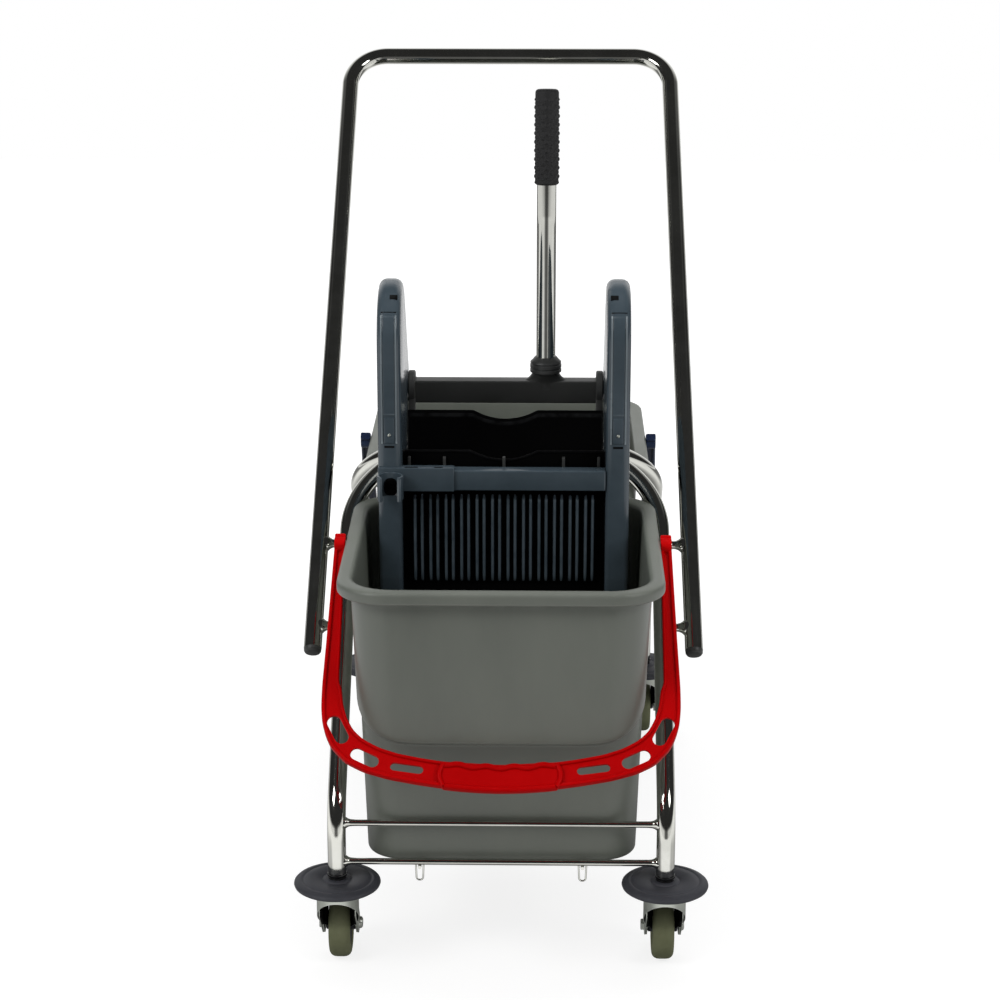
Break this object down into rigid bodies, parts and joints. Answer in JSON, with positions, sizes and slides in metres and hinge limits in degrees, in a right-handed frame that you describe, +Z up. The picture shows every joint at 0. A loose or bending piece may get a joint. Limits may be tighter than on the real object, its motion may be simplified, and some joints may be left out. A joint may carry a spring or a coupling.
{
  "type": "double mop bucket trolley",
  "caption": "Chromed tube trolley on swivel casters that carries mop buckets with swinging bails and a lever press wringer hung on its arch, with a sloping push handle.",
  "frame": {"origin": "on the floor, midway between the four caster stems", "axes": "+Z up, -Y the front with the wringer, +Y the rear where it is pushed, +X to the right seen from the front"},
  "size_m": [0.449, 0.8364, 0.9164],
  "materials": {
    "chrome": "polished chrome",
    "bucket_grey": "satin grey plastic",
    "wringer_slate": "satin slate plastic",
    "black_plastic": "satin black plastic",
    "plate_black": "dull black plastic",
    "bumper_grey": "matt grey rubber",
    "wheel_olive": "matt olive-grey rubber",
    "red_plastic": "glossy red plastic",
    "blue_plastic": "glossy dark blue plastic",
    "grip_rubber": "matt black rubber"
  },
  "bodies": {
    "frame": {"front_arch": "chrome", "rear_arch": "chrome", "front_rods": "chrome", "rear_rods": "chrome", "bucket_wires": "chrome", "push_handle": "chrome", "handle_studs": "chrome", "handle_plugs": "black_plastic", "leg_collars": "black_plastic", "bumper_fl": "bumper_grey", "bumper_fr": "bumper_grey", "bumper_rl": "bumper_grey", "bumper_rr": "bumper_grey"},
    "caster_fl": {"caster_stem_fl": "chrome", "caster_fork_fl": "chrome", "caster_axle_fl": "chrome"},
    "roller_fl": {"wheel_fl": "wheel_olive"},
    "caster_fr": {"caster_stem_fr": "chrome", "caster_fork_fr": "chrome", "caster_axle_fr": "chrome"},
    "roller_fr": {"wheel_fr": "wheel_olive"},
    "caster_rl": {"caster_stem_rl": "chrome", "caster_fork_rl": "chrome", "caster_axle_rl": "chrome"},
    "roller_rl": {"wheel_rl": "wheel_olive"},
    "caster_rr": {"caster_stem_rr": "chrome", "caster_fork_rr": "chrome", "caster_axle_rr": "chrome"},
    "roller_rr": {"wheel_rr": "wheel_olive"},
    "front_bucket": {"front_bucket": "bucket_grey"},
    "rear_bucket": {"rear_bucket": "bucket_grey"},
    "front_bail": {"front_bail": "red_plastic"},
    "rear_bail": {"rear_bail": "blue_plastic"},
    "wringer": {"wringer_panel_left": "wringer_slate", "wringer_panel_right": "wringer_slate", "panel_strips": "wringer_slate", "panel_screws": "chrome", "wringer_beam": "wringer_slate", "wringer_grille": "wringer_slate", "front_plate": "plate_black", "mop_clip": "wringer_slate", "press_pins": "chrome"},
    "press": {"press_plate": "plate_black"},
    "lever": {"lever_shaft": "black_plastic", "lever_collar": "black_plastic", "lever_tube": "chrome", "lever_grip": "grip_rubber"}
  },
  "joints": [
    {"name": "swivel_fl", "type": "hinge", "parent": "frame", "child": "caster_fl", "pos_m": [-0.1775, -0.333, 0.1], "axis": [0, 0, 1], "continuous": true},
    {"name": "roll_fl", "type": "hinge", "parent": "caster_fl", "child": "roller_fl", "pos_m": [-0.1775, -0.293, 0.0375], "axis": [1, 0, 0], "continuous": true},
    {"name": "swivel_fr", "type": "hinge", "parent": "frame", "child": "caster_fr", "pos_m": [0.1775, -0.333, 0.1], "axis": [0, 0, 1], "continuous": true},
    {"name": "roll_fr", "type": "hinge", "parent": "caster_fr", "child": "roller_fr", "pos_m": [0.1775, -0.293, 0.0375], "axis": [1, 0, 0], "continuous": true},
    {"name": "swivel_rl", "type": "hinge", "parent": "frame", "child": "caster_rl", "pos_m": [-0.1775, 0.333, 0.1], "axis": [0, 0, 1], "continuous": true},
    {"name": "roll_rl", "type": "hinge", "parent": "caster_rl", "child": "roller_rl", "pos_m": [-0.1775, 0.373, 0.0375], "axis": [1, 0, 0], "continuous": true},
    {"name": "swivel_rr", "type": "hinge", "parent": "frame", "child": "caster_rr", "pos_m": [0.1775, 0.333, 0.1], "axis": [0, 0, 1], "continuous": true},
    {"name": "roll_rr", "type": "hinge", "parent": "caster_rr", "child": "roller_rr", "pos_m": [0.1775, 0.373, 0.0375], "axis": [1, 0, 0], "continuous": true},
    {"name": "front_bucket_lift", "type": "slide", "parent": "frame", "child": "front_bucket", "axis": [0, 0, 1], "range_m": [0, 0.36]},
    {"name": "rear_bucket_lift", "type": "slide", "parent": "frame", "child": "rear_bucket", "axis": [0, 0, 1], "range_m": [0, 0.36]},
    {"name": "front_bail_swing", "type": "hinge", "parent": "front_bucket", "child": "front_bail", "pos_m": [0, -0.211, 0.45], "axis": [1, 0, 0], "range_deg": [-130, 0]},
    {"name": "rear_bail_swing", "type": "hinge", "parent": "rear_bucket", "child": "rear_bail", "pos_m": [0, 0.211, 0.45], "axis": [1, 0, 0], "range_deg": [0, 130]},
    {"name": "wringer_lift", "type": "slide", "parent": "front_bucket", "child": "wringer", "axis": [0, 0, 1], "range_m": [0, 0.3]},
    {"name": "lever_pull", "type": "hinge", "parent": "wringer", "child": "lever", "pos_m": [0, -0.003, 0.575], "axis": [1, 0, 0], "range_deg": [-45, 0]},
    {"name": "press_close", "type": "hinge", "parent": "wringer", "child": "press", "pos_m": [0, -0.111, 0.305], "axis": [1, 0, 0], "range_deg": [0, 10]}
  ],
  "couplings": [
    {"joint": "press_close", "follows": "lever_pull", "ratio": -0.205}
  ]
}
